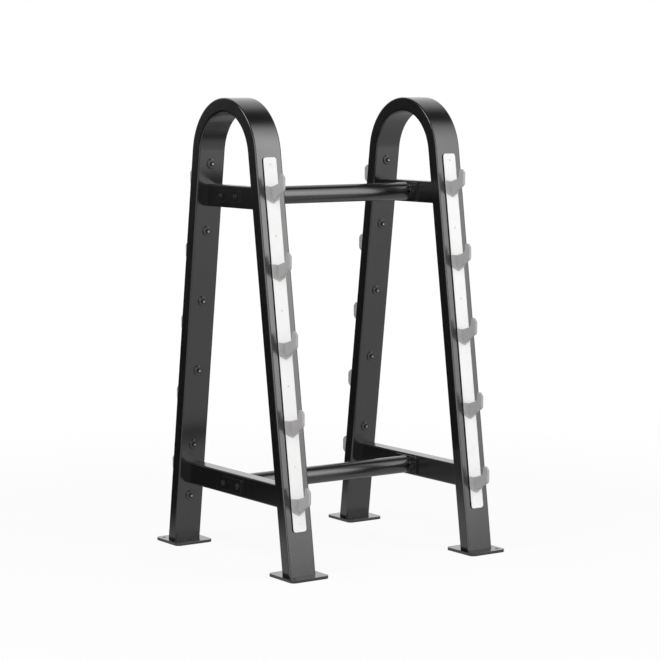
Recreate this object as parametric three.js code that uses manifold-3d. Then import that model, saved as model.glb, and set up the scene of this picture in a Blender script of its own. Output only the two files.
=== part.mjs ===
// Barbell storage rack: two arched tube frames, one behind the other across X, joined by two
// crossbars. Each leg carries a rail with five J-hooks, and a bar lies in the hooks of one height
// on both frames.
//
// Millimetres, +Z up. X runs from the left frame to the right frame, -Y is the front, and the
// origin is on the floor in the middle of the rack.

import * as THREE from "three";
import { mergeVertices } from "three/addons/utils/BufferGeometryUtils.js";
import Module from "manifold-3d";

const wasm = await Module();
wasm.setup();

// Whole rack
const rackHeight = 1503;
const frameSpacing = 707;
const legSlope = 0.141; // how far a leg leans in for each unit of height
const fitGap = 0.3; // what a slanted or turned piece keeps to its seat
const cutOverrun = 20; // how far a cutting body reaches past what it cuts

// Arched frames, one bent box tube each
const archRadius = 194;
const tubeWidth = 100; // across X
const tubeDepth = 45; // in the plane of the arch
const tubeCorner = 6;
const tubeWall = 3;
const archSteps = 10;
const tubeCornerSteps = 2;

// Foot plates
const plateWidth = 142;
const plateLength = 146;
const plateThickness = 10;
const plateCorner = 17;
const plateEdge = 0.8;
const plateReach = 48; // how far the plate stands out past the leg's outer face
const anchorHole = 12;
const anchorInsetAcross = 20;
const anchorInsetOut = 24;

// Cross members between the two legs of a frame
const upperMemberBelowArch = 122; // its middle, below the arch's centre
const lowerMemberHeight = 248.5;
const memberTall = 72;
const memberWide = 50;
const memberCorner = 5;
const memberWall = 3;

// Crossbars with a flange welded on each end
const barDiameter = 59;
const barWall = 3;
const barSides = 20;
const flangeLength = 120;
const flangeTall = 62;
const flangeThickness = 8;
const flangeCorner = 7;

// Backing plates on the outer side of the cross members
const backingTall = 44;
const backingThickness = 6;
const backingCorner = 5;

// Through-bolts that clamp flange, cross member and backing plate
const boltSpacing = 88;
const boltShank = 10;
const boltClearance = 0.5; // between a shank and its hole, all round
const boltDome = 17;
const boltDomeRise = 6.5;
const boltWasher = 21;
const boltWasherThickness = 1.6;
const boltSides = 8;

// Rails on the outer face of each leg
const railWidth = 48;
const railThickness = 5;
const railCorner = 9;
const railEdge = 0.7;
const railAboveFloor = 147.5; // along the leg
const railBelowArch = 19.5; // along the leg, short of where the arch begins

// Fixings of the rails, screwed through the leg to a domed nut on its inner face
const fixingPlaceShares = [0.021, 0.173, 0.39, 0.591, 0.791, 0.981]; // of the rail's length, from below
const fixingShank = 8;
const fixingClearance = 0.5;
const fixingDome = 15;
const fixingDomeRise = 6;
const fixingWasher = 34;
const fixingWasherThickness = 4;
const fixingWasherEdge = 2;
const fixingSides = 8;
const domeSteps = 2;

// Moulded J-hooks: a shield-shaped base flat on the rail and a hooked web along its middle
const hookCount = 5;
const hookAboveRailFoot = 102.5; // from the rail's lower end to the lowest hook's notch
const hookBelowRailHead = 93.5; // from the rail's upper end to the highest hook's notch
const shieldThickness = 4;
const shieldShoulder = 4; // how far the upper corners stand above the notch
const shieldSide = 42;
const shieldPoint = 13.5;
const shieldEdge = 0.8;
const webThickness = 9;
const webEdge = 1;
const webRoot = 44; // where the underside starts, below the notch
const webReach = 71; // from the rail to the plumb outer edge, at the notch's height
const webToe = 17.5; // the lower end of the outer edge, below the notch
const webToeRound = 7;
const cradleRise = 6.5; // how far the floor climbs from the notch to the lip
const cradleWidth = 46; // at the floor, from the rail to the lip
const cradleDepth = 28.5; // from the floor's outer end to the lip's tip
const cradleFlare = 8; // how much wider it is at the lip's tip
const cradleRound = 9;
const lipCut = 11; // how far the slanted cut comes in from the outer edge
const lipCutDrop = 13;
const hookCurveSteps = 2;

// Places that follow from the sizes above
const lean = Math.atan(legSlope);
const leanStretch = Math.hypot(1, legSlope);
const archCentreHeight = rackHeight - archRadius;
const upperMemberHeight = archCentreHeight - upperMemberBelowArch;
const footSpread = archRadius * leanStretch + legSlope * archCentreHeight;
const archBegins = archCentreHeight * leanStretch + archRadius * legSlope;
const railFoot = railAboveFloor;
const railHead = archBegins - railBelowArch;
const railLength = railHead - railFoot;
const hookFirst = railFoot + hookAboveRailFoot;
const hookPitch = (railHead - hookBelowRailHead - hookFirst) / (hookCount - 1);

// Directions of an extruded outline: its x, its y and the way it grows
const alongX = new THREE.Vector3(1, 0, 0);
const alongY = new THREE.Vector3(0, 1, 0);
const alongZ = new THREE.Vector3(0, 0, 1);
const backX = alongX.clone().negate();
const backY = alongY.clone().negate();
const upwards = new THREE.Matrix4();
const sideways = new THREE.Matrix4().makeBasis(alongY, alongZ, alongX);
const outwards = new THREE.Matrix4().makeBasis(alongX, alongZ, backY);
const profileWise = new THREE.Matrix4().makeBasis(backY, alongZ, backX);

// Materials
const paint = new THREE.MeshStandardMaterial({ color: 0x1d1c1d, roughness: 0.22, metalness: 0.0 });
const railPlastic = new THREE.MeshStandardMaterial({ color: 0xecece9, roughness: 0.4, metalness: 0.0 });
const hookPlastic = new THREE.MeshStandardMaterial({ color: 0x8e8f91, roughness: 0.5, metalness: 0.0 });
const boltSteel = new THREE.MeshStandardMaterial({ color: 0x262527, roughness: 0.2, metalness: 0.4 });

// A closed geometry as a solid that can be joined and cut
function solidOf(geometry) {
  const bare = geometry.clone();
  bare.deleteAttribute("normal");
  bare.deleteAttribute("uv");
  const merged = mergeVertices(bare);
  const corners = merged.index.array;
  const kept = [];
  for (let i = 0; i < corners.length; i += 3) {
    const [a, b, c] = corners.slice(i, i + 3);
    if (a !== b && b !== c && c !== a) kept.push(a, b, c);
  }
  const vertProperties = new Float32Array(merged.attributes.position.array);
  return new wasm.Manifold(new wasm.Mesh({ numProp: 3, vertProperties, triVerts: new Uint32Array(kept) }));
}

function geometryOf(solid) {
  const cut = solid.getMesh();
  const geometry = new THREE.BufferGeometry();
  geometry.setAttribute("position", new THREE.BufferAttribute(cut.vertProperties, 3));
  geometry.setIndex(new THREE.BufferAttribute(cut.triVerts, 1));
  geometry.computeVertexNormals();
  return geometry;
}

// An outline grown to a slab of the given thickness, with rounded or cut edges, centred on the
// outline's plane unless it starts there
function slab(outline, thickness, edge, direction, { edgeSteps = 1, curveSteps = 3, centred = false } = {}) {
  const geometry = new THREE.ExtrudeGeometry(outline, {
    depth: thickness - 2 * edge,
    bevelEnabled: edge > 0,
    bevelThickness: edge,
    bevelSize: edge,
    bevelOffset: -edge,
    bevelSegments: edgeSteps,
    curveSegments: curveSteps,
  });
  geometry.translate(0, 0, centred ? edge - thickness / 2 : edge);
  return geometry.applyMatrix4(direction);
}

function roundedRectangle(width, height, radius, path = new THREE.Shape()) {
  const quarter = Math.PI / 2;
  const x = width / 2 - radius;
  const y = height / 2 - radius;
  path.absarc(x, y, radius, 0, quarter);
  path.absarc(-x, y, radius, quarter, 2 * quarter);
  path.absarc(-x, -y, radius, 2 * quarter, 3 * quarter);
  path.absarc(x, -y, radius, 3 * quarter, 4 * quarter);
  return path;
}

function drill(diameter, length, sides) {
  return new THREE.CylinderGeometry(diameter / 2, diameter / 2, length, sides);
}

// A round piece along +Y: a shank between two ends, each plain or with a washer and a dome
function turned(stations, sides) {
  return new THREE.LatheGeometry(stations, sides);
}

// The rounded top of a dome, from its rim to the axis, rising towards +Y or, with -1, towards -Y
function domeArc(diameter, rise, base, way) {
  const arc = [];
  for (let i = 0; i <= domeSteps; i += 1) {
    const angle = (i / domeSteps) * (Math.PI / 2);
    const radius = i < domeSteps ? (diameter / 2) * Math.cos(angle) : 0;
    arc.push(new THREE.Vector2(radius, base + way * rise * Math.sin(angle)));
  }
  return arc;
}

// Distance of a leg from the frame's middle at a height, some way in from its outer face
function legAcross(height, inset) {
  return footSpread - legSlope * height - inset * leanStretch;
}

// The space of a leg: x across it, y into it from its outer face, z up along it
function legSpace(turn) {
  const side = new THREE.Group();
  const leg = new THREE.Group();
  side.rotation.z = turn;
  leg.position.y = -footSpread;
  leg.rotation.x = -lean;
  side.add(leg);
  side.updateMatrixWorld(true);
  return { side, leg };
}

const legTurns = { front: 0, back: Math.PI };

// Arched frame
function archBand(outerInset, innerInset) {
  const band = new THREE.Shape();
  const start = -cutOverrun;
  band.absarc(0, archCentreHeight, archRadius - outerInset, lean, Math.PI - lean);
  band.lineTo(-legAcross(start, outerInset), start);
  band.lineTo(-legAcross(start, innerInset), start);
  band.absarc(0, archCentreHeight, archRadius - innerInset, Math.PI - lean, lean, true);
  band.lineTo(legAcross(start, innerInset), start);
  band.lineTo(legAcross(start, outerInset), start);
  return band;
}

function fixingHeight(share) {
  return railFoot + share * railLength;
}

function frameSolid() {
  const options = { edgeSteps: tubeCornerSteps, curveSteps: archSteps, centred: true };
  const skin = slab(archBand(0, tubeDepth), tubeWidth, tubeCorner, sideways, options);
  const innerBand = archBand(tubeWall, tubeDepth - tubeWall);
  const hollow = slab(innerBand, tubeWidth - 2 * tubeWall, tubeCorner - tubeWall, sideways, options);
  let frame = solidOf(skin).subtract(solidOf(hollow));
  const footCutHeight = plateThickness + 2 * cutOverrun;
  const footCut = new THREE.BoxGeometry(tubeWidth + cutOverrun, 3 * footSpread, footCutHeight);
  footCut.translate(0, 0, plateThickness - footCutHeight / 2);
  frame = frame.subtract(solidOf(footCut));
  for (const turn of Object.values(legTurns)) {
    const { leg } = legSpace(turn);
    for (const share of fixingPlaceShares) {
      const hole = drill(fixingShank + 2 * fixingClearance, tubeDepth + cutOverrun, fixingSides);
      hole.translate(0, tubeDepth / 2, fixingHeight(share));
      frame = frame.subtract(solidOf(hole.applyMatrix4(leg.matrixWorld)));
    }
  }
  return frame;
}

// Foot plate, with its one anchor hole in the corner that points out and away from the rack
function footPlate(outX, outY) {
  const plate = slab(
    roundedRectangle(plateWidth, plateLength, plateCorner), plateThickness, plateEdge, upwards, { curveSteps: 2 });
  const hole = drill(anchorHole, plateThickness + cutOverrun, boltSides).rotateX(Math.PI / 2);
  hole.translate(
    outX * (plateWidth / 2 - anchorInsetAcross), outY * (plateLength / 2 - anchorInsetOut), plateThickness / 2);
  return geometryOf(solidOf(plate).subtract(solidOf(hole)));
}

// Cross member: a box tube cut on the slant of the legs, open at the ends that meet them
function memberGeometry(height) {
  const section = roundedRectangle(memberWide, memberTall, memberCorner);
  const bore = [memberWide, memberTall].map((size) => size - 2 * memberWall);
  section.holes.push(roundedRectangle(...bore, memberCorner - memberWall, new THREE.Path()));
  const tube = slab(section, 2 * legAcross(height, 0), 0, outwards, { centred: true, curveSteps: 1 });
  const low = -memberTall;
  const high = memberTall;
  const between = (place) => legAcross(height + place, tubeDepth + fitGap);
  const room = new THREE.Shape([
    new THREE.Vector2(between(low), low),
    new THREE.Vector2(between(high), high),
    new THREE.Vector2(-between(high), high),
    new THREE.Vector2(-between(low), low),
  ]);
  const roomSlab = slab(room, memberWide + cutOverrun, 0, sideways, { centred: true });
  let member = solidOf(tube).intersect(solidOf(roomSlab));
  for (const place of boltPlaces()) member = member.subtract(solidOf(boltHole(place)));
  return geometryOf(member);
}

// Bolts and their holes, along X
function boltPlaces() {
  return [-boltSpacing / 2, boltSpacing / 2];
}

function boltHole(place) {
  const length = memberWide + flangeThickness + backingThickness + cutOverrun;
  return drill(boltShank + 2 * boltClearance, length, boltSides).rotateZ(Math.PI / 2).translate(0, place, 0);
}

function boltGeometry() {
  const grip = backingThickness + memberWide + flangeThickness;
  const head = domeArc(boltDome, boltDomeRise, -boltWasherThickness, -1).reverse();
  const nut = domeArc(boltDome, boltDomeRise, grip + boltWasherThickness, 1);
  const stations = [
    ...head,
    new THREE.Vector2(boltWasher / 2, -boltWasherThickness),
    new THREE.Vector2(boltWasher / 2, 0),
    new THREE.Vector2(boltShank / 2, 0),
    new THREE.Vector2(boltShank / 2, grip),
    new THREE.Vector2(boltWasher / 2, grip),
    new THREE.Vector2(boltWasher / 2, grip + boltWasherThickness),
    ...nut,
  ];
  return geometryOf(solidOf(turned(stations, boltSides)));
}

// Crossbar: a round tube with a flange on each end, bored right through
function crossbarGeometry() {
  const length = frameSpacing - memberWide;
  const tube = drill(barDiameter, length, barSides).rotateZ(Math.PI / 2);
  const bore = drill(barDiameter - 2 * barWall, length + cutOverrun, barSides).rotateZ(Math.PI / 2);
  let bar = solidOf(tube);
  for (const end of [-1, 1]) {
    const outline = roundedRectangle(flangeLength, flangeTall, flangeCorner);
    const flange = slab(outline, flangeThickness, 0, sideways, { centred: true, curveSteps: 2 });
    flange.translate(end * (length - flangeThickness) / 2, 0, 0);
    bar = bar.add(solidOf(flange));
  }
  bar = bar.subtract(solidOf(bore));
  for (const end of [-1, 1]) {
    for (const place of boltPlaces()) {
      const hole = boltHole(place).translate(end * length / 2, 0, 0);
      bar = bar.subtract(solidOf(hole));
    }
  }
  return geometryOf(bar);
}

function backingGeometry() {
  const outline = roundedRectangle(flangeLength, backingTall, backingCorner);
  const plate = slab(outline, backingThickness, 0, sideways, { centred: true, curveSteps: 1 });
  let backing = solidOf(plate);
  for (const place of boltPlaces()) backing = backing.subtract(solidOf(boltHole(place)));
  return geometryOf(backing);
}

// Rail with its six fixings: in the space of the leg, its back just off the leg's outer face
function railGeometry() {
  const outline = roundedRectangle(railWidth, railLength, railCorner);
  const strip = slab(outline, railThickness, railEdge, outwards, { curveSteps: 2 });
  strip.translate(0, -fitGap, (railFoot + railHead) / 2);
  let rail = solidOf(strip);
  const seat = tubeDepth + fitGap;
  const stations = [
    new THREE.Vector2(0, -fitGap - railThickness / 2),
    new THREE.Vector2(fixingShank / 2, -fitGap - railThickness / 2),
    new THREE.Vector2(fixingShank / 2, seat),
    new THREE.Vector2(fixingWasher / 2, seat),
    new THREE.Vector2(fixingWasher / 2, seat + fixingWasherThickness - fixingWasherEdge),
    new THREE.Vector2(fixingWasher / 2 - fixingWasherEdge, seat + fixingWasherThickness),
    ...domeArc(fixingDome, fixingDomeRise, seat + fixingWasherThickness, 1),
  ];
  for (const share of fixingPlaceShares) {
    const fixing = turned(stations, fixingSides).translate(0, 0, fixingHeight(share));
    rail = rail.add(solidOf(fixing));
  }
  return geometryOf(rail);
}

// J-hook: its back on the plane y = 0, its notch at z = 0
function shieldOutline() {
  const half = railWidth / 2;
  const lowCorner = shieldShoulder - shieldSide;
  return new THREE.Shape([
    new THREE.Vector2(0, 0),
    new THREE.Vector2(-half, shieldShoulder),
    new THREE.Vector2(-half, lowCorner),
    new THREE.Vector2(0, lowCorner - shieldPoint),
    new THREE.Vector2(half, lowCorner),
    new THREE.Vector2(half, shieldShoulder),
  ]);
}

// Draws on from one point, round a corner, towards another point
function roundCorner(path, from, corner, to, size) {
  const before = from.clone().sub(corner).setLength(size).add(corner);
  const after = to.clone().sub(corner).setLength(size).add(corner);
  path.lineTo(before.x, before.y);
  path.quadraticCurveTo(corner.x, corner.y, after.x, after.y);
}

function webOutline() {
  const plumbEdge = (up) => new THREE.Vector2(webReach + legSlope * up, up);
  const tipUp = cradleRise + cradleDepth;
  const notch = new THREE.Vector2();
  const root = new THREE.Vector2(shieldThickness, -webRoot);
  const shoulder = plumbEdge(tipUp - lipCutDrop);
  const tip = new THREE.Vector2(cradleWidth + cradleFlare, tipUp);
  const floorEnd = new THREE.Vector2(cradleWidth, cradleRise);
  const web = new THREE.Shape();
  web.moveTo(0, -webRoot);
  web.lineTo(root.x, root.y);
  roundCorner(web, root, plumbEdge(-webToe), shoulder, webToeRound);
  web.lineTo(shoulder.x, shoulder.y);
  web.lineTo(shoulder.x - lipCut, tipUp);
  web.lineTo(tip.x, tip.y);
  roundCorner(web, tip, floorEnd, notch, cradleRound);
  web.lineTo(notch.x, notch.y);
  return web;
}

function hookGeometry() {
  const shield = slab(shieldOutline(), shieldThickness, shieldEdge, outwards);
  const options = { curveSteps: hookCurveSteps, centred: true };
  const web = slab(webOutline(), webThickness, webEdge, profileWise, options);
  return geometryOf(solidOf(shield).add(solidOf(web)));
}

// Assembly
const rack = new THREE.Group();
const frameShape = geometryOf(frameSolid());
const railShape = railGeometry();
const hookShape = hookGeometry();
const boltShape = boltGeometry();
const backingShape = backingGeometry();
const crossbarShape = crossbarGeometry();
const memberHeights = { upper: upperMemberHeight, lower: lowerMemberHeight };
const frameSides = { left: -1, right: 1 };

function named(name, geometry, material, parent) {
  const mesh = new THREE.Mesh(geometry, material.clone());
  mesh.name = name;
  parent.add(mesh);
  return mesh;
}

function addFeet(frame, side, outX) {
  const outYs = { front: -1, back: 1 };
  for (const [end, outY] of Object.entries(outYs)) {
    const plate = named(`foot_plate_${end}_${side}`, footPlate(outX, outY), paint, frame);
    plate.position.y = outY * (footSpread + plateReach - plateLength / 2);
  }
}

function addMembers(frame, side, outX) {
  for (const [level, height] of Object.entries(memberHeights)) {
    named(`member_${level}_${side}`, memberGeometry(height), paint, frame).position.z = height;
    const backing = named(`backing_${level}_${side}`, backingShape, paint, frame);
    backing.position.set(outX * (memberWide + backingThickness) / 2, 0, height);
    boltPlaces().forEach((place, index) => {
      const end = ["front", "back"][index];
      const bolt = named(`bolt_${level}_${end}_${side}`, boltShape, boltSteel, frame);
      bolt.rotation.z = outX * Math.PI / 2;
      bolt.position.set(outX * (memberWide / 2 + backingThickness), place, height);
    });
  }
}

function addRails(frame, side) {
  for (const [end, turn] of Object.entries(legTurns)) {
    const space = legSpace(turn);
    frame.add(space.side);
    named(`rail_${end}_${side}`, railShape, railPlastic, space.leg);
    for (let i = 0; i < hookCount; i += 1) {
      const hook = named(`hook_${end}_${side}_${i + 1}`, hookShape, hookPlastic, space.leg);
      hook.position.set(0, -railThickness - 2 * fitGap, hookFirst + i * hookPitch);
    }
  }
}

for (const [side, outX] of Object.entries(frameSides)) {
  const frame = new THREE.Group();
  frame.position.x = outX * frameSpacing / 2;
  rack.add(frame);
  named(`frame_${side}`, frameShape, paint, frame);
  addFeet(frame, side, outX);
  addMembers(frame, side, outX);
  addRails(frame, side);
}
for (const [level, height] of Object.entries(memberHeights)) {
  named(`crossbar_${level}`, crossbarShape, paint, rack).position.z = height;
}

export default rack;
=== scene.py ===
# %% [markdown]
# Barbell storage rack, dressed. Two arched box-tube frames stand side by side, two crossbars join
# them, and every leg carries a white-faced rail with five grey J-hooks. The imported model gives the
# places and sizes. This lesson gives each piece a smooth mesh and a finish worked out from nodes.

# %% The frame
import math

import bmesh
import bpy
from mathutils import Matrix, Vector


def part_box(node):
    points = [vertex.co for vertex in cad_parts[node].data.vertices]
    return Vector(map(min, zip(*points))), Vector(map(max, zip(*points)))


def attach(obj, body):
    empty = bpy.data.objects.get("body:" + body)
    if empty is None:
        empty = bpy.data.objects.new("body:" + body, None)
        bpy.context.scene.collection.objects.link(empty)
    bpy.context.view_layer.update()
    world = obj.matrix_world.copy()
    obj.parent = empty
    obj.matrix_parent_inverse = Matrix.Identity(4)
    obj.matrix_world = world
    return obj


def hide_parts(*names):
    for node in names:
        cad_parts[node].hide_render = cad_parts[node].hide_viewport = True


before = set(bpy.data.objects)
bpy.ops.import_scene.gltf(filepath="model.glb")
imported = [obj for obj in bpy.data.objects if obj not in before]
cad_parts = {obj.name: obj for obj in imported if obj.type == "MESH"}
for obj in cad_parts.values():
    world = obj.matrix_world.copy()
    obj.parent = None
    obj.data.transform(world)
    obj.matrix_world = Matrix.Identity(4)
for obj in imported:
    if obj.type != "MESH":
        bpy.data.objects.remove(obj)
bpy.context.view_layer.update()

# %% [markdown]
# Sizes are in metres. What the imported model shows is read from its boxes, so the pieces follow it.
# The few sizes that a box can't show, such as a corner or a radius, are named here.

# %% Sizes
MM = 0.001
SIDES = {"left": -1, "right": 1}
ENDS = {"front": -1, "back": 1}
LEVELS = ("upper", "lower")
LEGS = [(side, end) for side in SIDES for end in ENDS]
MEMBERS = [(side, level) for side in SIDES for level in LEVELS]


def box_size(node):
    """A node's size, and its middle."""
    low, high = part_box(node)
    return high - low, (low + high) / 2


tube_size, left_centre = box_size("frame_left")
plate_size, _ = box_size("foot_plate_front_right")
RACK_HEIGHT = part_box("frame_left")[1].z
TUBE_WIDTH = tube_size.x
TUBE_DEPTH = 45 * MM
TUBE_CORNER = 6 * MM
ARCH_RADIUS = 194 * MM
PLATE_TOP = plate_size.z
FRAME_X = abs(left_centre.x)

# %% [markdown]
# A leg leans in by a little for each unit of height. From that slope and the arch's radius follow
# where a leg's outer face meets the floor, and how far along the leg the arch begins.

# %% The lean of the legs
LEG_SLOPE = 0.141
LEAN = math.atan(LEG_SLOPE)
STRETCH = math.hypot(1, LEG_SLOPE)
ARCH_CENTRE = RACK_HEIGHT - ARCH_RADIUS
FOOT_SPREAD = ARCH_RADIUS * STRETCH + LEG_SLOPE * ARCH_CENTRE
ARCH_BEGINS = ARCH_CENTRE * STRETCH + ARCH_RADIUS * LEG_SLOPE
print("leg's foot at", round(FOOT_SPREAD, 4), "arch begins", round(ARCH_BEGINS, 4), "along it")

# %% [markdown]
# What sits on a leaning leg is easiest to model upright and then turn into place. The matrix below
# takes a piece from the space of a leg (x across it, y into it from its outer face, z up along it)
# to the rack. A back leg is a front leg turned half round.

# %% The space of a leg


def leg_space(side, end):
    turn = Matrix.Rotation(0 if end == "front" else math.pi, 4, "Z")
    stand = Matrix.Translation((0, -FOOT_SPREAD, 0)) @ Matrix.Rotation(-LEAN, 4, "X")
    return Matrix.Translation((SIDES[side] * FRAME_X, 0, 0)) @ turn @ stand


def leg_across(height, inset):
    """How far from the rack's middle a leg is at a height, inset from its outer face."""
    return FOOT_SPREAD - LEG_SLOPE * height - inset * STRETCH


member_height = box_size("member_lower_left")[1].z
print("legs' outer faces", round(leg_across(member_height, 0), 4), "out at", round(member_height, 4), "high")

# %% [markdown]
# Shader maths reads best as plain sums. So a small class wraps a node's output, and its signs add
# Math nodes. It has the signs that this file uses, with the forms where the number comes first.

# %% A node's output as a value


def plug(tree, entry, value):
    """Links a Wire to a socket, or sets the socket to a number, a colour or a vector."""
    if isinstance(value, Wire):
        tree.links.new(value.socket, entry)
    else:
        entry.default_value = value


class Wire:
    """A node's output that can be added, subtracted and multiplied."""

    def __init__(self, tree, socket):
        self.tree = tree
        self.socket = socket

    def maths(self, operation, *values):
        node = self.tree.nodes.new("ShaderNodeMath")
        node.operation = operation
        for entry, value in zip(node.inputs, values):
            plug(self.tree, entry, value)
        return Wire(self.tree, node.outputs[0])

    def __add__(self, other):
        return self.maths("ADD", self, other)

    def __sub__(self, other):
        return self.maths("SUBTRACT", self, other)

    def __rsub__(self, other):
        return self.maths("SUBTRACT", other, self)

    def __mul__(self, other):
        return self.maths("MULTIPLY", self, other)

    __radd__ = __add__
    __rmul__ = __mul__

    def clamp(self):
        return self.maths("MAXIMUM", self.maths("MINIMUM", self, 1.0), 0.0)


# %% [markdown]
# Every other node comes from one method: its type, then its settings, then what goes into its
# sockets. A socket is named with _ for each blank. Some nodes give several sockets one name, as Mix
# does, so those are given by number: socket_0 is the first.

# %% One method for every node
BY_NUMBER = "socket_"


class Finish:
    """One node tree and the method that adds nodes to it."""

    def __init__(self, tree):
        self.tree = tree
        self.tree.nodes.clear()

    def node(self, kind, settings=None, out=0, **entries):
        made = self.tree.nodes.new(kind)
        for name, value in (settings or {}).items():
            if name == "stops":
                self.set_stops(made.color_ramp, value)
            else:
                setattr(made, name, value)
        for name, value in entries.items():
            plug(self.tree, self.entry(made, name), value)
        return Wire(self.tree, made.outputs[out]) if made.outputs else None

    @staticmethod
    def entry(made, name):
        if name.startswith(BY_NUMBER):
            return made.inputs[int(name.removeprefix(BY_NUMBER))]
        return made.inputs[name.replace("_", " ")]

    @staticmethod
    def set_stops(ramp, stops):
        while len(ramp.elements) < len(stops):
            ramp.elements.new(0.5)
        for element, (place, colour) in zip(ramp.elements, stops):
            element.position = place
            element.color = colour


# %% [markdown]
# A material is a name and a function that builds its surface. Most finishes here drift between two
# close colours, because no real surface is one colour all over.

# %% Materials


def material(name, build):
    made = bpy.data.materials.new(name)
    made.use_nodes = True
    finish = Finish(made.node_tree)
    surface = build(finish)
    finish.node("ShaderNodeOutputMaterial", Surface=surface)
    print("finish", name, len(made.node_tree.nodes), "nodes")
    return made


def mixed(finish, factor, first, second):
    """A colour between two others. Sockets 6 and 7 and output 2 are a Mix node's colours."""
    return finish.node(
        "ShaderNodeMix", {"data_type": "RGBA"}, out=2, socket_0=factor, socket_6=first, socket_7=second)


# %% [markdown]
# Gloss black powder coat. Sprayed powder melts into a film that is never quite flat: seen close it
# has a soft orange peel. Two noises bend the reflections a little, and a large one varies how
# rough the film is, as a wiped surface does. Black gloss is seen by what it mirrors, so the colour
# is nearly black and a high index of refraction gives the mirror its strength.

# %% Black powder coat
COAT_DARK = (0.0045, 0.004, 0.0045, 1)
COAT_LIGHT = (0.006, 0.0055, 0.006, 1)
COAT_ROUGHNESS = 0.17
COAT_WIPED = 0.1


def black_coat(finish):
    place = finish.node("ShaderNodeTexCoord", out="Object")
    peel = finish.node("ShaderNodeTexNoise", Vector=place, Scale=420.0, Detail=2.0, Roughness=0.45)
    grain = finish.node("ShaderNodeTexNoise", Vector=place, Scale=1500.0, Detail=1.0)
    wipe = finish.node("ShaderNodeTexNoise", Vector=place, Scale=9.0, Detail=4.0, Roughness=0.6)
    bump = finish.node("ShaderNodeBump", Strength=0.06, Distance=0.0005, Height=peel * 0.8 + grain * 0.2)
    return finish.node(
        "ShaderNodeBsdfPrincipled", Base_Color=mixed(finish, wipe, COAT_DARK, COAT_LIGHT),
        Roughness=wipe * COAT_WIPED + COAT_ROUGHNESS, IOR=2.0, Normal=bump)


PAINT = material("black_powder_coat", black_coat)

# %% [markdown]
# The rails are faced with white plastic, which keeps a bar's steel off the paint. A planed plastic
# strip has faint lines along its length, so its noise is stretched by the strip's own map, which
# runs along it. Small scuffs cloud the white a little.

# %% White rail plastic
STRIP_PALE = (0.85, 0.85, 0.845, 1)
STRIP_CLOUDED = (0.79, 0.79, 0.785, 1)
STRIP_MAP = "along"
STRIP_STRETCH = (1.0, 0.02, 1.0)
STRIP_ROUGHNESS = 0.32


def white_strip(finish):
    flat = finish.node("ShaderNodeUVMap", {"uv_map": STRIP_MAP})
    lines = finish.node("ShaderNodeMapping", {"vector_type": "POINT"}, Vector=flat, Scale=STRIP_STRETCH)
    planed = finish.node("ShaderNodeTexNoise", Vector=lines, Scale=900.0, Detail=3.0, Roughness=0.5)
    cloud = finish.node("ShaderNodeTexNoise", Vector=flat, Scale=14.0, Detail=5.0, Roughness=0.6)
    bump = finish.node("ShaderNodeBump", Strength=0.05, Distance=0.0004, Height=planed)
    return finish.node(
        "ShaderNodeBsdfPrincipled", Base_Color=mixed(finish, cloud, STRIP_PALE, STRIP_CLOUDED),
        Roughness=cloud * 0.12 + planed * 0.08 + STRIP_ROUGHNESS, Normal=bump)


STRIP_WHITE = material("white_rail_plastic", white_strip)

# %% [markdown]
# The hooks are moulded in mid grey nylon with a fine spark-eroded grain. The grain is a tight noise
# in the bump and in the roughness, and the colour drifts a little where the melt flowed.

# %% Grey hook plastic
HOOK_DARK = (0.38, 0.372, 0.375, 1)
HOOK_LIGHT = (0.42, 0.412, 0.415, 1)
HOOK_ROUGHNESS = 0.4


def grey_nylon(finish):
    place = finish.node("ShaderNodeTexCoord", out="Object")
    grain = finish.node("ShaderNodeTexNoise", Vector=place, Scale=2200.0, Detail=2.0, Roughness=0.6)
    flow = finish.node("ShaderNodeTexNoise", Vector=place, Scale=38.0, Detail=3.0, Roughness=0.55)
    bump = finish.node("ShaderNodeBump", Strength=0.18, Distance=0.0003, Height=grain)
    return finish.node(
        "ShaderNodeBsdfPrincipled", Base_Color=mixed(finish, flow, HOOK_DARK, HOOK_LIGHT),
        Roughness=grain * 0.12 + flow * 0.08 + HOOK_ROUGHNESS, Normal=bump)


HOOK_GREY = material("grey_hook_nylon", grey_nylon)

# %% [markdown]
# The bolts, screws and nuts have a dull black oxide with fine turning marks left as a tight noise.
# Only the ends of the rails' screws, which show in their nuts, are bare zinc, so they catch the
# light. Both finishes share their marks, so one function builds them from two colours, how metallic
# the surface is and how rough.

# %% Black oxide and bare zinc
OXIDE_DARK = (0.005, 0.005, 0.0055, 1)
OXIDE_LIGHT = (0.01, 0.0095, 0.01, 1)
ZINC_DARK = (0.5, 0.5, 0.51, 1)
ZINC_LIGHT = (0.64, 0.64, 0.65, 1)


def turned_steel(dark, light, metallic, roughness):
    def build(finish):
        place = finish.node("ShaderNodeTexCoord", out="Object")
        marks = finish.node("ShaderNodeTexNoise", Vector=place, Scale=1100.0, Detail=3.0, Roughness=0.7)
        bump = finish.node("ShaderNodeBump", Strength=0.05, Distance=0.0003, Height=marks)
        return finish.node(
            "ShaderNodeBsdfPrincipled", Base_Color=mixed(finish, marks, dark, light),
            Metallic=metallic, Roughness=marks * 0.08 + roughness, IOR=1.5, Normal=bump)
    return build


OXIDE = material("black_oxide", turned_steel(OXIDE_DARK, OXIDE_LIGHT, metallic=0.0, roughness=0.3))
ZINC = material("bare_zinc", turned_steel(ZINC_DARK, ZINC_LIGHT, metallic=1.0, roughness=0.2))

# %% [markdown]
# Faces are smooth shaded, and only edges sharper than a fillet stay sharp. Gloss shows the smallest
# bend in a flat face, so a modifier gives each large face its own plain normal and leaves the
# turning to the small faces of the fillets.

# %% Finishing a piece
SMOOTH_UP_TO = math.radians(32)


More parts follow.
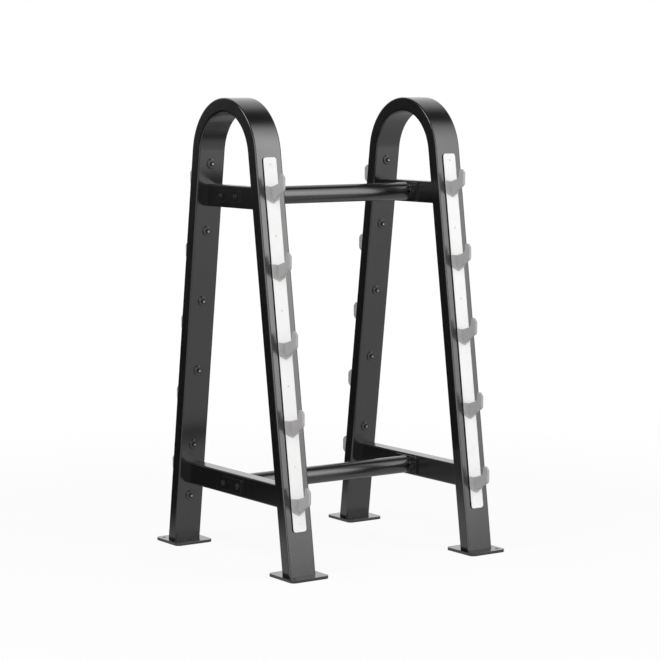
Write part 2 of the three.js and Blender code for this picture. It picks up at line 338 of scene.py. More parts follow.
def finish_piece(name, bm, finish_material, nodes):
    bmesh.ops.remove_doubles(bm, verts=bm.verts[:], dist=0.005 * MM)
    bmesh.ops.recalc_face_normals(bm, faces=bm.faces[:])
    mesh = bpy.data.meshes.new(name)
    bm.to_mesh(mesh)
    bm.free()
    mesh.shade_smooth()
    mesh.set_sharp_from_angle(angle=SMOOTH_UP_TO)
    mesh.materials.append(finish_material)
    piece = bpy.data.objects.new(name, mesh)
    bpy.context.scene.collection.objects.link(piece)
    flat = piece.modifiers.new("flat_faces", "WEIGHTED_NORMAL")
    flat.keep_sharp = True
    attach(piece, "root")
    if nodes:
        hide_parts(*nodes)
    return piece


# %% [markdown]
# Plates, tubes and mouldings all start as a flat outline. A grid of one face with its corners
# bevelled gives a rounded rectangle, and an extrusion gives it depth. Two turns then stand it up:
# one so that its depth points out of a front leg, one so that it points across the rack.

# %% Flat outlines with depth
OUTWARDS = Matrix.Rotation(math.pi / 2, 4, "X")
ACROSS = Matrix.Rotation(math.pi / 2, 4, "Y")


def move(bm, matrix):
    bmesh.ops.transform(bm, matrix=matrix, verts=bm.verts[:])


def panel(width, height, corner, steps=8):
    """A flat rounded rectangle in the plane of x and y."""
    bm = bmesh.new()
    bmesh.ops.create_grid(bm, x_segments=1, y_segments=1, size=0.5)
    bmesh.ops.scale(bm, vec=(width, height, 1), verts=bm.verts[:])
    bmesh.ops.bevel(
        bm, geom=bm.verts[:], offset=corner, offset_type="OFFSET", segments=steps, profile=0.5,
        affect="VERTICES", material=-1)
    return bm


def thicken(bm, depth):
    """Grows the flat face of a bmesh along +z."""
    grown = bmesh.ops.extrude_face_region(bm, geom=bm.faces[:])
    verts = [v for v in grown["geom"] if isinstance(v, bmesh.types.BMVert)]
    bmesh.ops.translate(bm, vec=(0, 0, depth), verts=verts)
    bmesh.ops.recalc_face_normals(bm, faces=bm.faces[:])


# %% [markdown]
# Nothing that is cut, sawn or moulded has a perfectly sharp edge, and a rounded edge is what
# catches the light. So sharp edges are found by the angle between their faces and bevelled. A sawn
# tube is cut by a plane, and the hole that this leaves is filled.

# %% Rounded edges and cuts
SHARP_EDGE = math.radians(50)


def round_edges(bm, radius, steps=3, chosen=None):
    edges = [e for e in bm.edges if e.is_manifold and e.calc_face_angle() > SHARP_EDGE]
    if chosen:
        edges = [e for e in edges if chosen(e)]
    bmesh.ops.bevel(
        bm, geom=edges, offset=radius, offset_type="OFFSET", segments=steps, profile=0.5,
        affect="EDGES", clamp_overlap=True, material=-1)


def cut_off(bm, place, away):
    """Cuts off what lies beyond a plane and closes the cut. The plane goes through place."""
    bmesh.ops.bisect_plane(
        bm, geom=bm.verts[:] + bm.edges[:] + bm.faces[:], dist=0.001 * MM,
        plane_co=place, plane_no=away, clear_outer=True)
    bmesh.ops.holes_fill(bm, edges=[e for e in bm.edges if e.is_boundary], sides=0)


# %% [markdown]
# Round pieces are turned on a lathe, and so are they here: a chain of points is spun about z, and
# the points on the axis are merged so that the pole is closed. A piece of several bodies, such as a
# tube with its flanges, is made from several bmeshes joined to one.

# %% Turned and joined pieces


def quarter(steps):
    """The angles of a quarter turn, from nothing to a right angle."""
    return [math.pi / 2 * i / steps for i in range(steps + 1)]


def lathe(stations, steps):
    """A round piece from a chain of (radius, height) about z."""
    bm = bmesh.new()
    chain = [bm.verts.new((radius, 0, height)) for radius, height in stations]
    edges = [bm.edges.new(pair) for pair in zip(chain, chain[1:])]
    bmesh.ops.spin(
        bm, geom=chain + edges, cent=(0, 0, 0), axis=(0, 0, 1), angle=math.tau, steps=steps,
        use_merge=True)
    bmesh.ops.remove_doubles(bm, verts=bm.verts[:], dist=0.002 * MM)
    return bm


def joined(*parts):
    """Several bmeshes as one."""
    whole = bmesh.new()
    for part in parts:
        holder = bpy.data.meshes.new("holder")
        part.to_mesh(holder)
        part.free()
        whole.from_mesh(holder)
        bpy.data.meshes.remove(holder)
    return whole


# %% [markdown]
# An arched frame is one length of box tube, bent. So it is made as the bender makes it: a rounded
# section at one foot, drawn up the straight leg, spun round the arch, and drawn down the other
# leg. It starts a little below the feet, which are then cut level at the top of the foot plates.

# %% Arched frames
ARCH_STEPS = 72
FOOT_OVERRUN = 40 * MM


def draw_out(bm, edges, travel):
    """Draws open edges out along a way, and gives the edges at the new end."""
    grown = bmesh.ops.extrude_edge_only(bm, edges=edges)
    verts = [g for g in grown["geom"] if isinstance(g, bmesh.types.BMVert)]
    bmesh.ops.translate(bm, vec=travel, verts=verts)
    return [g for g in grown["geom"] if isinstance(g, bmesh.types.BMEdge) and g.is_boundary]


def arched_tube(side):
    leg = leg_space(side, "front")
    bm = panel(TUBE_WIDTH, TUBE_DEPTH, TUBE_CORNER)
    bmesh.ops.delete(bm, geom=bm.faces[:], context="FACES_ONLY")
    move(bm, leg @ Matrix.Translation((0, TUBE_DEPTH / 2, -FOOT_OVERRUN)))
    up = leg.to_3x3() @ Vector((0, 0, 1))
    down = Vector((up.x, up.y, -up.z))
    straight = ARCH_BEGINS + FOOT_OVERRUN
    edges = draw_out(bm, bm.edges[:], up * straight)
    ring = list(dict.fromkeys(v for e in edges for v in e.verts)) + edges
    spun = bmesh.ops.spin(
        bm, geom=ring, cent=(SIDES[side] * FRAME_X, 0, ARCH_CENTRE), axis=(-1, 0, 0),
        angle=math.pi - 2 * LEAN, steps=ARCH_STEPS)
    edges = [g for g in spun["geom_last"] if isinstance(g, bmesh.types.BMEdge)]
    draw_out(bm, edges, down * straight)
    cut_off(bm, (0, 0, PLATE_TOP), (0, 0, -1))
    return finish_piece(f"tube_{side}", bm, PAINT, [f"frame_{side}"])


for side in SIDES:
    tube = arched_tube(side)
    top = max(v.co.z for v in tube.data.vertices)
    print(tube.name, len(tube.data.polygons), "faces, top at", round(top, 4))

# %% [markdown]
# A foot plate is a laser-cut square of plate with rounded corners, a dressed edge and one anchor
# hole in its outer corner. The hole is left open when the outline is filled, so no cutter is needed.

# %% Foot plates
PLATE_CORNER = 17 * MM
PLATE_EDGE = 0.9 * MM
ANCHOR_RADIUS = 6 * MM
ANCHOR_ACROSS = 20 * MM
ANCHOR_OUT = 24 * MM


def drilled_panel(width, height, corner, place, radius):
    """A rounded rectangle with one round hole."""
    bm = panel(width, height, corner, steps=10)
    bmesh.ops.delete(bm, geom=bm.faces[:], context="FACES_ONLY")
    bmesh.ops.create_circle(
        bm, cap_ends=False, radius=radius, segments=32, matrix=Matrix.Translation(place))
    bmesh.ops.triangle_fill(
        bm, use_beauty=True, use_dissolve=True, edges=bm.edges[:], normal=(0, 0, 1))
    return bm


def foot_plate(side, end):
    node = f"foot_plate_{end}_{side}"
    size, centre = box_size(node)
    across = SIDES[side] * (size.x / 2 - ANCHOR_ACROSS)
    out = ENDS[end] * (size.y / 2 - ANCHOR_OUT)
    bm = drilled_panel(size.x, size.y, PLATE_CORNER, (across, out, 0), ANCHOR_RADIUS)
    thicken(bm, size.z)
    round_edges(bm, PLATE_EDGE, steps=2)
    move(bm, Matrix.Translation((centre.x, centre.y, 0)))
    return finish_piece(f"base_{end}_{side}", bm, PAINT, [node])


for side, end in LEGS:
    plate = foot_plate(side, end)
print("foot plate", [round(v, 4) for v in plate.dimensions])

# %% [markdown]
# A cross member is a box tube whose ends are sawn on the slant of the legs. A rounded section is
# drawn across, a little too long, and two planes, one along each leg's inner face, cut it to length.

# %% Cross members
MEMBER_CORNER = 5 * MM
MEMBER_OVERRUN = 20 * MM


def cross_member(side, level):
    node = f"member_{level}_{side}"
    size, centre = box_size(node)
    length = size.y + MEMBER_OVERRUN
    bm = panel(size.x, size.z, MEMBER_CORNER, steps=6)
    thicken(bm, length)
    move(bm, Matrix.Translation((0, length / 2, 0)) @ OUTWARDS)
    for way in ENDS.values():
        face = (0, way * leg_across(centre.z, TUBE_DEPTH), 0)
        cut_off(bm, face, (0, way, LEG_SLOPE))
    move(bm, Matrix.Translation(centre))
    return finish_piece(f"tie_{level}_{side}", bm, PAINT, [node])


for side, level in MEMBERS:
    tie = cross_member(side, level)
print("cross member", [round(v, 4) for v in tie.dimensions])

# %% [markdown]
# A crossbar is a round tube with a flange welded on each end. The tube is a spun line, and the
# flange a rounded plate. A small spun fillet stands for the weld between them.

# %% Crossbars
BAR_RADIUS = 29.5 * MM
BAR_STEPS = 64
WELD = 1.5 * MM
FLANGE_THICKNESS = 8 * MM
FLANGE_CORNER = 7 * MM
FLANGE_EDGE = 0.9 * MM


def welded_bar(face):
    """A round bar along x, with a fillet where it meets a flange's face at either end."""
    fillet = [(BAR_RADIUS + WELD * (1 - math.sin(a)), face - WELD * (1 - math.cos(a)))
              for a in reversed(quarter(6))]
    stations = [(0, -face)] + [(r, -h) for r, h in reversed(fillet)] + fillet + [(0, face)]
    bm = lathe(stations, BAR_STEPS)
    move(bm, ACROSS)
    return bm


def flange(size, place):
    bm = panel(size.z, size.y, FLANGE_CORNER)
    thicken(bm, FLANGE_THICKNESS)
    round_edges(bm, FLANGE_EDGE, steps=2)
    move(bm, ACROSS @ Matrix.Translation((0, 0, -FLANGE_THICKNESS / 2)))
    move(bm, Matrix.Translation((place, 0, 0)))
    return bm


def crossbar(level):
    node = f"crossbar_{level}"
    size, centre = box_size(node)
    half = size.x / 2
    flanges = [flange(size, way * (half - FLANGE_THICKNESS / 2)) for way in SIDES.values()]
    bm = joined(welded_bar(half - FLANGE_THICKNESS), *flanges)
    move(bm, Matrix.Translation(centre))
    return finish_piece(f"bar_{level}", bm, PAINT, [node])


for level in LEVELS:
    bar = crossbar(level)
print("crossbar", [round(v, 4) for v in bar.dimensions])

# %% [markdown]
# On the outer side of each cross member a backing plate spreads the load of the two bolts that
# hold the crossbar. Its edge is dressed like the flanges'.

# %% Backing plates
BACKING_CORNER = 5 * MM


def backing_plate(side, level):
    node = f"backing_{level}_{side}"
    size, centre = box_size(node)
    bm = panel(size.z, size.y, BACKING_CORNER, steps=6)
    thicken(bm, size.x)
    round_edges(bm, FLANGE_EDGE, steps=2)
    move(bm, ACROSS @ Matrix.Translation((0, 0, -size.x / 2)))
    move(bm, Matrix.Translation(centre))
    return finish_piece(f"pad_{level}_{side}", bm, PAINT, [node])


for side, level in MEMBERS:
    pad = backing_plate(side, level)
print("backing plate", [round(v, 4) for v in pad.dimensions])

# %% [markdown]
# A through-bolt with its washers and domed nuts is turned, so it is one profile spun about its
# axis. From the shank outwards come a washer with its rim eased, and a dome that is a quarter of an
# ellipse. The other end is the same profile mirrored.

# %% Through-bolts
BOLT_SHANK = 5 * MM
BOLT_DOME = 8.5 * MM
BOLT_RISE = 6.5 * MM
BOLT_WASHER = 10.5 * MM
WASHER_THICKNESS = 1.6 * MM
WASHER_EASE = WASHER_THICKNESS / 4
BOLT_STEPS = 36


def washer_profile(seat):
    top = seat + WASHER_THICKNESS
    return [(BOLT_SHANK, seat), (BOLT_WASHER - WASHER_EASE, seat), (BOLT_WASHER, seat + WASHER_EASE),
            (BOLT_WASHER, top - WASHER_EASE), (BOLT_WASHER - WASHER_EASE, top)]


def dome_profile(base):
    """Points of a dome from its rim to the axis."""
    side_of_dome = [(BOLT_DOME * math.cos(a), base + BOLT_RISE * math.sin(a)) for a in quarter(8)[:-1]]
    return side_of_dome + [(0, base + BOLT_RISE)]


def through_bolt(side, level, end):
    node = f"bolt_{level}_{end}_{side}"
    size, centre = box_size(node)
    seat = size.x / 2 - WASHER_THICKNESS - BOLT_RISE
    upper = washer_profile(seat) + dome_profile(seat + WASHER_THICKNESS)
    lower = [(r, -h) for r, h in reversed(upper)]
    bm = lathe(lower + upper, BOLT_STEPS)
    move(bm, Matrix.Translation(centre) @ ACROSS)
    return finish_piece(f"clamp_{level}_{end}_{side}", bm, OXIDE, [node])


for side, level in MEMBERS:
    for end in ENDS:
        bolt = through_bolt(side, level, end)
print("bolt", [round(v, 4) for v in bolt.dimensions])

# %% [markdown]
# A rail is a black bed with a thin white wear strip on it. Both are the same rounded outline with
# eased edges, so one function makes either layer. The strip gets a map of its own, x across and y
# along in metres, so that its planing lines run along it however the leg leans.

# %% Rails
RAIL_WIDTH = 48 * MM
RAIL_THICKNESS = 5 * MM
STRIP_THICKNESS = 1.6 * MM
BED_THICKNESS = RAIL_THICKNESS - STRIP_THICKNESS
RAIL_CORNER = 9 * MM
RAIL_EDGE = 0.4 * MM
RAIL_FOOT = 147.5 * MM
RAIL_HEAD = ARCH_BEGINS - 19.5 * MM
RAIL_LENGTH = RAIL_HEAD - RAIL_FOOT
SEAT_GAP = 0.3 * MM


def map_along(bm):
    layer = bm.loops.layers.uv.new(STRIP_MAP)
    for face in bm.faces:
        for loop in face.loops:
            loop[layer].uv = (loop.vert.co.x, loop.vert.co.z)


def rail_layer(side, end, begins, thickness):
    """One layer of a rail: where it begins above the leg's face, and how thick it is."""
    bm = panel(RAIL_WIDTH, RAIL_LENGTH, RAIL_CORNER)
    thicken(bm, thickness)
    round_edges(bm, RAIL_EDGE, steps=2)
    move(bm, Matrix.Translation((0, -SEAT_GAP - begins, (RAIL_FOOT + RAIL_HEAD) / 2)) @ OUTWARDS)
    map_along(bm)
    move(bm, leg_space(side, end))
    return bm


def rail(side, end):
    bed = rail_layer(side, end, 0, BED_THICKNESS)
    finish_piece(f"bed_{end}_{side}", bed, OXIDE, [])
    strip = rail_layer(side, end, BED_THICKNESS, STRIP_THICKNESS)
    nodes = [f"rail_{end}_{side}"]
    return finish_piece(f"strip_{end}_{side}", strip, STRIP_WHITE, nodes)


for side, end in LEGS:
    strip = rail(side, end)
print("rail", round(RAIL_LENGTH, 4), "long,", len(strip.data.polygons), "faces")

# %% [markdown]
# Six screws hold a rail. Each is sunk in the white face, goes through the leg, and ends on the
# inner side in a large washer with a rounded rim and a dark nut, in which the screw's cut end shows
# bright. They are three pieces, because the paint, the oxide and the zinc are three finishes. Each
# is a profile of (radius, height) with the height counted outwards from the leg's outer face. The
# nut's chamfer is in millimetres: how far in from its radius, and how far from its tip.

# %% Sizes of the rail fixings
FIXING_SHARES = (0.021, 0.173, 0.39, 0.591, 0.791, 0.981)
FIXING_STEPS = 40
FIXING_FRONT = RAIL_THICKNESS + SEAT_GAP
FIXING_BACK = -(TUBE_DEPTH + SEAT_GAP)
SCREW_HEAD = 3 * MM
SCREW_EDGE = 0.3 * MM
SCREW_SOCKET = 1.7 * MM
SOCKET_DEPTH = 1.6 * MM
SCREW_SHANK = 4 * MM
SHEET_WASHER = 17 * MM
SHEET_WASHER_EDGE = 2.4 * MM
NUT_SEAT = FIXING_BACK - 4 * MM
NUT_RADIUS = 7.5 * MM
NUT_TIP = NUT_SEAT - 6 * MM
NUT_CHAMFER = ((0, 3.4), (0.8, 2), (2.2, 1.1))
NUT_FACE = NUT_TIP + 0.8 * MM
SCREW_END = 3.6 * MM
SCREW_END_BASE = NUT_TIP + 0.6 * MM
SCREW_END_EDGE = 0.4 * MM
print("a fixing reaches from", round(FIXING_FRONT, 4), "to", round(NUT_TIP, 4))

# %% Rail fixings


def along_rail(side, end, profile):
    """One turned part at each of the rail's fixings."""
    parts = []
    for share in FIXING_SHARES:
        part = lathe(profile, FIXING_STEPS)
        move(part, Matrix.Translation((0, 0, RAIL_FOOT + share * RAIL_LENGTH)) @ OUTWARDS)
        parts.append(part)
    bm = joined(*parts)
    move(bm, leg_space(side, end))
    return bm


def screw_and_nut():
    floor = FIXING_FRONT - SOCKET_DEPTH
    socket = [(0, floor), (SCREW_SOCKET, floor), (SCREW_SOCKET, FIXING_FRONT)]
    head = [(SCREW_HEAD - SCREW_EDGE, FIXING_FRONT), (SCREW_HEAD, FIXING_FRONT - SCREW_EDGE)]
    shank = [(SCREW_HEAD, floor), (SCREW_SHANK, floor), (SCREW_SHANK, NUT_SEAT)]
    chamfer = [(NUT_RADIUS - inset * MM, NUT_TIP + above * MM) for inset, above in NUT_CHAMFER]
    nut = [(NUT_RADIUS, NUT_SEAT)] + chamfer + [(SCREW_END, NUT_FACE), (0, NUT_FACE)]
    return socket + head + shank + nut


def screw_end():
    return [(0, SCREW_END_BASE), (SCREW_END, SCREW_END_BASE), (SCREW_END, NUT_TIP + SCREW_END_EDGE),
            (SCREW_END - SCREW_END_EDGE, NUT_TIP), (0, NUT_TIP)]


def sheet_washer():
    rim = [(SHEET_WASHER - SHEET_WASHER_EDGE * (1 - math.cos(a)),
            NUT_SEAT + SHEET_WASHER_EDGE * (1 - math.sin(a))) for a in quarter(6)]
    base = [(SCREW_SHANK, FIXING_BACK), (SHEET_WASHER, FIXING_BACK)]
    return base + rim + [(SCREW_SHANK, NUT_SEAT), (SCREW_SHANK, FIXING_BACK)]


FIXING_PARTS = (("fixings", screw_and_nut(), OXIDE), ("screw_ends", screw_end(), ZINC),
                ("washers", sheet_washer(), PAINT))

for side, end in LEGS:
    for name, profile, part_finish in FIXING_PARTS:
        part = along_rail(side, end, profile)
        washers = finish_piece(f"{name}_{end}_{side}", part, part_finish, [])
print("washers on a leg", len(washers.data.polygons), "faces")

# %% [markdown]
# A J-hook is one moulding: a shield-shaped base and a hooked web. Both are an outline of a few
# corners, some of them rounded, grown to its thickness and then eased at the edges as a moulding
# is. Bevelling one corner at a time lets each have its own rounding.

# %% Mouldings


def polygon(points):
    bm = bmesh.new()
    bm.faces.new([bm.verts.new((x, y, 0)) for x, y in points])
    return bm


def moulded(corners, thickness, edge, eased=None):
    """Grows an outline of (x, y, rounding) corners and eases its edges."""
    bm = polygon([(x, y) for x, y, _ in corners])
    roundings = [(vert, size) for vert, (_, _, size) in zip(bm.verts, corners) if size > 0]
    for vert, size in roundings:
        bmesh.ops.bevel(
            bm, geom=[vert], offset=size, offset_type="OFFSET", segments=6, profile=0.5,
            affect="VERTICES", material=-1)
    thicken(bm, thickness)
    round_edges(bm, edge, chosen=eased)
    return bm


# %% [markdown]
# The shield lies flat on the rail and is as wide as it. Its head is notched to the middle and its
# foot comes to a point. The bottom of the notch is the point that a hook's height is counted from.

# %% Shield of a hook
SHIELD_HALF = RAIL_WIDTH / 2
SHIELD_THICKNESS = 4 * MM
SHIELD_SHOULDER = 4 * MM
SHIELD_LOW = SHIELD_SHOULDER - 42 * MM
SHIELD_POINT = 13.5 * MM
SHIELD_CORNER = 1.2 * MM
SHIELD_EDGE = 0.8 * MM


def shield():
    right = [(SHIELD_HALF, SHIELD_LOW, SHIELD_CORNER), (SHIELD_HALF, SHIELD_SHOULDER, SHIELD_CORNER)]
    left = [(-x, y, size) for x, y, size in reversed(right)]
    point = (0, SHIELD_LOW - SHIELD_POINT, SHIELD_CORNER)
    bm = moulded([(0, 0, 0)] + left + [point] + right, SHIELD_THICKNESS, SHIELD_EDGE)
    move(bm, OUTWARDS)
    return bm


shield_tall = SHIELD_SHOULDER - SHIELD_LOW + SHIELD_POINT
print("shield", round(2 * SHIELD_HALF, 4), "wide,", round(shield_tall, 4), "tall")

# %% [markdown]
# The web stands out along the shield's middle. Its floor and its lip make the cradle for the bar,
# its underside is straight, and its lip is cut on a slant. The lip's outer edge is plumb although
# the leg leans. The edges inside the shield stay sharp, since they don't show.

# %% Web of a hook
WEB_THICKNESS = 9 * MM
WEB_EDGE = 1.1 * MM
WEB_ROOT = 44 * MM
WEB_REACH = 71 * MM
WEB_TOE = 17.5 * MM
TOE_ROUND = 7 * MM
CRADLE_RISE = 6.5 * MM
CRADLE_WIDTH = 46 * MM
CRADLE_DEPTH = 28.5 * MM
CRADLE_FLARE = 8 * MM
CRADLE_ROUND = 9 * MM
LIP_CUT = 11 * MM
LIP_CUT_DROP = 13 * MM
LIP_ROUND = 1.5 * MM
SHOULDER_ROUND = 2 * MM
UPRIGHT = Matrix(((0, 0, -1, 0), (-1, 0, 0, 0), (0, 1, 0, 0), (0, 0, 0, 1)))


def plumb(height):
    """How far out the web's plumb outer edge is at a height."""
    return WEB_REACH + LEG_SLOPE * height


def outside_shield(edge):
    return min(v.co.x for v in edge.verts) > SHIELD_EDGE


def web():
    tip = CRADLE_RISE + CRADLE_DEPTH
    shoulder = tip - LIP_CUT_DROP
    root = [(0, -WEB_ROOT, 0), (SHIELD_THICKNESS, -WEB_ROOT, 0)]
    toe = [(plumb(-WEB_TOE), -WEB_TOE, TOE_ROUND)]
    lip = [(plumb(shoulder), shoulder, SHOULDER_ROUND), (plumb(shoulder) - LIP_CUT, tip, LIP_ROUND)]
    cradle = [(CRADLE_WIDTH + CRADLE_FLARE, tip, LIP_ROUND), (CRADLE_WIDTH, CRADLE_RISE, CRADLE_ROUND)]
    bm = moulded(root + toe + lip + cradle + [(0, 0, 0)], WEB_THICKNESS, WEB_EDGE, outside_shield)
    move(bm, Matrix.Translation((WEB_THICKNESS / 2, 0, 0)) @ UPRIGHT)
    return bm


print("cradle", round(CRADLE_WIDTH, 4), "wide and", round(CRADLE_DEPTH, 4), "deep")

# %% [markdown]
# Five hooks sit on each rail, evenly spaced, and one shape serves all twenty. Shield and web are
# joined, set on the rail at their height, and taken to their leg.

# %% Hooks
HOOK_COUNT = 5
HOOK_FIRST = RAIL_FOOT + 102.5 * MM
HOOK_LAST = RAIL_HEAD - 93.5 * MM
HOOK_PITCH = (HOOK_LAST - HOOK_FIRST) / (HOOK_COUNT - 1)


def hook(side, end, number):
    bm = joined(shield(), web())
    seat = (0, -RAIL_THICKNESS - 2 * SEAT_GAP, HOOK_FIRST + (number - 1) * HOOK_PITCH)
    move(bm, leg_space(side, end) @ Matrix.Translation(seat))
    nodes = [f"hook_{end}_{side}_{number}"]
    return finish_piece(f"jhook_{end}_{side}_{number}", bm, HOOK_GREY, nodes)


for side, end in LEGS:
    for number in range(1, HOOK_COUNT + 1):
        jhook = hook(side, end, number)
print("hook", [round(v, 4) for v in jhook.dimensions], len(jhook.data.polygons), "faces")

# %% [markdown]
# The camera stands where the photo was taken: front left, at the height of the arches. Its place,
# angles and lens were fitted to edges that the photo shows. The picture's middle isn't the lens's
# middle, so the lens is shifted as the photo's framing needs.

# %% Camera
PHOTO_PIXELS = 660
FOCAL_PIXELS = 2245.1
MIDDLE = (381.92, 366.86)
CAMERA_PLACE = (-4.1742, -6.1751, 1.5330)
CAMERA_DOWN = 7.074
CAMERA_ROUND = 35.447

camera_data = bpy.data.cameras.new("camera")
camera = bpy.data.objects.new("camera", camera_data)
bpy.context.scene.collection.objects.link(camera)
camera.location = CAMERA_PLACE
camera.rotation_euler = (math.radians(90 - CAMERA_DOWN), 0, math.radians(-CAMERA_ROUND))
camera_data.sensor_width = 36
camera_data.lens = FOCAL_PIXELS / PHOTO_PIXELS * camera_data.sensor_width
camera_data.shift_x = (PHOTO_PIXELS / 2 - MIDDLE[0]) / PHOTO_PIXELS
camera_data.shift_y = (MIDDLE[1] - PHOTO_PIXELS / 2) / PHOTO_PIXELS
camera_data.clip_end = 200
bpy.context.scene.camera = camera
print("lens", round(camera_data.lens, 1))
print("shift", round(camera_data.shift_x, 4), round(camera_data.shift_y, 4))

# %% [markdown]
# Black gloss is all reflection, so the studio is what gives the rack its shape. Each lamp is a
# rectangle that stands off in some way from the rack, perhaps aside of that way, and is turned to
# face it. Its level is how bright its face looks, so a lamp's power grows with its size.

# %% One soft lamp


def soft_lamp(name, way, distance, aside, height, aim_height, width, tall, level):
    """A rectangle of light; level is how bright its face looks, with 1 as white."""
    data = bpy.data.lights.new(name, "AREA")
    data.shape = "RECTANGLE"
    data.size = width
    data.size_y = tall
    data.energy = level * math.pi * width * tall
    lamp = bpy.data.objects.new(name, data)
    shift = Vector((-way.y, way.x, 0)).normalized() * aside
    place = way.normalized() * distance + shift + Vector((0, 0, height))
    aim = Vector((0, 0, aim_height)) + shift - place
    lamp.location = place
    lamp.rotation_euler = aim.to_track_quat("-Z", "Y").to_euler()
    lamp.visible_camera = False
    bpy.context.scene.collection.objects.link(lamp)
    print("lamp", name, "level", level, "power", round(data.energy, 1))
    return lamp


# %% [markdown]
# One great sheet of silk stands at the front right and shows in the legs' front faces and in the
# arches. Lamps behind it light it best in one part, so it fades towards its edges, which the arches
# show as a soft fall of light. The fading is two ramps, read across and up the sheet's own face and
# multiplied.

# %% Silk sheet
FRONT_WAY = Vector((0.575, -0.818, 0))
SHEET_ACROSS = (
    (0, 0.4), (0.07, 0.9), (0.15, 1), (0.21, 1), (0.265, 0.88), (0.335, 0.56), (0.45, 0.5),
    (0.53, 0.41), (0.62, 0.32), (0.8, 0.185), (1, 0.04))
SHEET_UP = (
    (0, 0.42), (0.03, 0.55), (0.06, 0.57), (0.1, 0.69), (0.13, 0.75), (0.21, 0.88), (0.4, 1),
    (0.7, 0.95), (0.83, 0.7), (1, 0.3))


def faded(finish, face, axis, stops):
    place = finish.node("ShaderNodeSeparateXYZ", out=axis, Vector=face)
    ramp = [(share, (level, level, level, 1)) for share, level in stops]
    return finish.node("ShaderNodeValToRGB", {"stops": ramp}, Fac=place)


def grade(lamp):
    lamp.data.use_nodes = True
    finish = Finish(lamp.data.node_tree)
    face = finish.node("ShaderNodeNewGeometry", out="Parametric")
    strength = faded(finish, face, "X", SHEET_ACROSS) * faded(finish, face, "Y", SHEET_UP)
    glow = finish.node("ShaderNodeEmission", Color=(1, 1, 1, 1), Strength=strength)
    finish.node("ShaderNodeOutputLight", Surface=glow)


grade(soft_lamp(
    "silk_sheet", FRONT_WAY, distance=6.0, aside=1.3, height=5.3, aim_height=5.3,
    width=5.8, tall=10.4, level=3.45))

# %% [markdown]
# A weak strip lamp at the left lifts the sides of the hooks and the edges that face it, and a
# softbox high at the left draws the light line along the arches' outer rims.

# %% Lamps at the left
LEFT_WAY = Vector((-0.985, -0.174, 0))
RIM_WAY = Vector((-0.99, 0.05, 0))

soft_lamp(
    "left_strip", LEFT_WAY, distance=3.1, aside=0, height=1.5, aim_height=1.1,
    width=1.4, tall=2.8, level=0.45)
soft_lamp(
    "rim_softbox", RIM_WAY, distance=3.0, aside=0, height=4.4, aim_height=1.3,
    width=2.6, tall=1.8, level=3.4)

# %% [markdown]
# The room is the world, and it is seen in three ways. The camera sees plain white. Mirrored rays see
# a white backdrop behind the rack, a bright patch of wall round the camera, which draws the thin
# light line down the tubes' left corners, and a nearly black room elsewhere. All other light comes
# from a wide wall behind the camera and a soft fill. How near a ray is to a part of the room is a
# dot product, and a short ramp of it is that part's edge.

# %% Reading the room
RAY_KINDS = ("Is Camera Ray", "Is Transmission Ray", "Is Glossy Ray")


def ray_kinds(finish):
    """Whether a ray comes straight from the camera or through glass, and whether it is mirrored."""
    seen, through, mirrored = (finish.node("ShaderNodeLightPath", out=kind) for kind in RAY_KINDS)
    return (seen + through).clamp(), mirrored


def towards(finish, place, way):
    return finish.node(
        "ShaderNodeVectorMath", {"operation": "DOT_PRODUCT"}, out="Value", socket_0=place, socket_1=way)


def fade_in(value, begins, steepness):
    """Nothing up to a value, then a ramp up to 1."""
    return ((value - begins) * steepness).clamp()


# %% The room
BACKDROP_WAY = (0.575, 0.818, 0.0)
BACKDROP_LEVEL = 1.25
WALL_WAY = (-0.60, -0.79, 0.1)
WALL_LEVEL = 1.25
PATCH_LEVEL = 1.5
DARK_ROOM = 0.035
FILL = 0.2


def studio(finish):
    direct, mirrored = ray_kinds(finish)
    way = finish.node("ShaderNodeTexCoord", out="Generated")
    behind_rack = towards(finish, way, BACKDROP_WAY)
    behind_camera = towards(finish, way, WALL_WAY)
    backdrop = fade_in(behind_rack, begins=0.38, steepness=4.5) * behind_rack * BACKDROP_LEVEL
    patch = fade_in(behind_camera, begins=0.8, steepness=8) * PATCH_LEVEL
    wall = fade_in(behind_camera, begins=0.35, steepness=3) * WALL_LEVEL
    level = mirrored * (backdrop + patch + DARK_ROOM) + (1 - mirrored) * (wall + FILL)
    return finish.node(
        "ShaderNodeBackground", Color=(1, 1, 1, 1), Strength=direct + (1 - direct) * level)


world = bpy.data.worlds.new("studio")
world.use_nodes = True
bpy.context.scene.world = world
room = Finish(world.node_tree)
room.node("ShaderNodeOutputWorld", Surface=studio(room))
print("room", len(world.node_tree.nodes), "nodes")

# %% [markdown]
# The floor is plain and pale, and it runs far out so that no edge shows. To the camera it is nearly
# white of itself, a little darker near the rack, and a faint matt paint on top takes the rack's
# shadow. Mirrored rays see half that white, as far as the paper goes, which ends in a soft edge
# left of the rack. For the light that bounces off it, the floor is ordinary white paint.

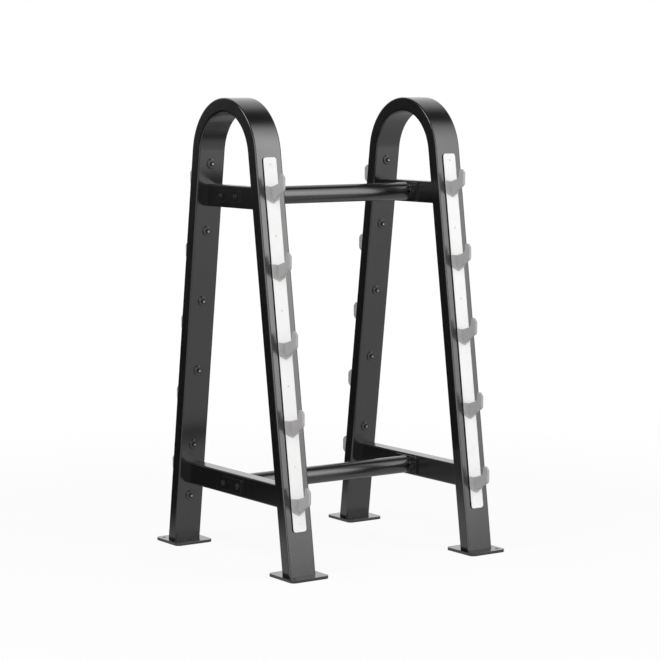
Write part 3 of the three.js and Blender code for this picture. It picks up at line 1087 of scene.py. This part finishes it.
# %% Floor
FLOOR_RADIUS = 60
FLOOR_NEAR = 0.9
FLOOR_FAR = 0.08
PAPER_WAY = (0.545, -0.839, 0.0)
PAPER_ENDS = -1.1
PAPER_FADE = 0.6
PAPER_MIRRORED = 0.5
BARE_MIRRORED = 0.02
SHADOW_PAINT = 0.1
WHITE_PAINT = (0.8, 0.8, 0.8, 1)


def pale_floor(finish):
    direct, mirrored = ray_kinds(finish)
    place = finish.node("ShaderNodeTexCoord", out="Object")
    away = finish.node("ShaderNodeVectorMath", {"operation": "LENGTH"}, out="Value", socket_0=place)
    across = towards(finish, place, PAPER_WAY)
    paper = fade_in(across, begins=PAPER_ENDS, steepness=1 / PAPER_FADE)
    far = fade_in(away, begins=1.5, steepness=0.3)
    seen_as = (direct + mirrored * (paper * PAPER_MIRRORED + BARE_MIRRORED)).clamp()
    level = (far * FLOOR_FAR + FLOOR_NEAR) * seen_as
    paint = finish.node("ShaderNodeBsdfDiffuse", Color=WHITE_PAINT)
    shadow = finish.node("ShaderNodeBsdfDiffuse", Color=direct * SHADOW_PAINT)
    glow = finish.node("ShaderNodeEmission", Color=(1, 1, 1, 1), Strength=level)
    white = finish.node("ShaderNodeAddShader", socket_0=glow, socket_1=shadow)
    return finish.node(
        "ShaderNodeMixShader", socket_0=(direct + mirrored).clamp(), socket_1=paint, socket_2=white)


def floor_disc():
    bm = bmesh.new()
    bmesh.ops.create_circle(bm, cap_ends=True, radius=FLOOR_RADIUS, segments=96)
    mesh = bpy.data.meshes.new("floor")
    bm.to_mesh(mesh)
    bm.free()
    made = bpy.data.objects.new("floor", mesh)
    mesh.materials.append(material("pale_floor", pale_floor))
    bpy.context.scene.collection.objects.link(made)
    return made


floor = floor_disc()
print("floor", [round(v) for v in floor.dimensions])

# %% [markdown]
# The colours go to the picture as they are, without a film's curve, so a colour renders about as it
# is written.

# %% The view
bpy.context.scene.view_settings.view_transform = "Standard"
print("view", bpy.context.scene.view_settings.view_transform)
